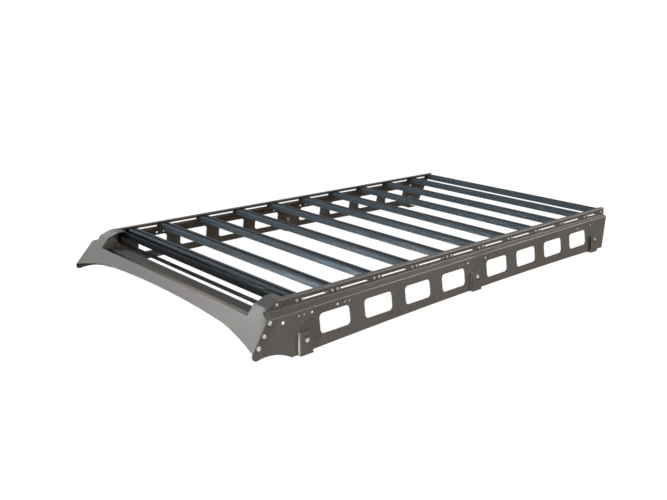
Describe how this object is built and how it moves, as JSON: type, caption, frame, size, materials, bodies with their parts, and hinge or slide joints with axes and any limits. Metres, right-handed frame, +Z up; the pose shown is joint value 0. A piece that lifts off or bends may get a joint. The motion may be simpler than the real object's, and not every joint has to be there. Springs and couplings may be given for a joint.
{
  "type": "roof rack",
  "caption": "Low full-length expedition roof rack with bent side plates, slotted crossbars, a sloping wind fairing and a light bar tray.",
  "frame": {"origin": "middle of the rack's length and width, at the level of the corner brackets' feet", "axes": "+Z up, -Y towards the front with the wind fairing, +X towards the rack's left side"},
  "size_m": [1.2268, 2.1542, 0.183],
  "materials": {
    "plate_coat": "satin",
    "bar_coat": "satin"
  },
  "bodies": {
    "root": {"side_plate_left": "plate_coat", "side_plate_right": "plate_coat", "crossbar_01": "bar_coat", "crossbar_02": "bar_coat", "crossbar_03": "bar_coat", "crossbar_04": "bar_coat", "crossbar_05": "bar_coat", "crossbar_06": "bar_coat", "crossbar_07": "bar_coat", "crossbar_08": "bar_coat", "crossbar_09": "bar_coat", "crossbar_10": "bar_coat", "crossbar_11": "bar_coat", "wind_fairing": "plate_coat", "light_bar_tray": "plate_coat", "front_cross_plate": "plate_coat", "mount_bracket_left_front": "plate_coat", "mount_bracket_right_front": "plate_coat", "mount_bracket_left_middle": "plate_coat", "mount_bracket_right_middle": "plate_coat", "mount_bracket_left_rear": "plate_coat", "mount_bracket_right_rear": "plate_coat"}
  },
  "joints": []
}
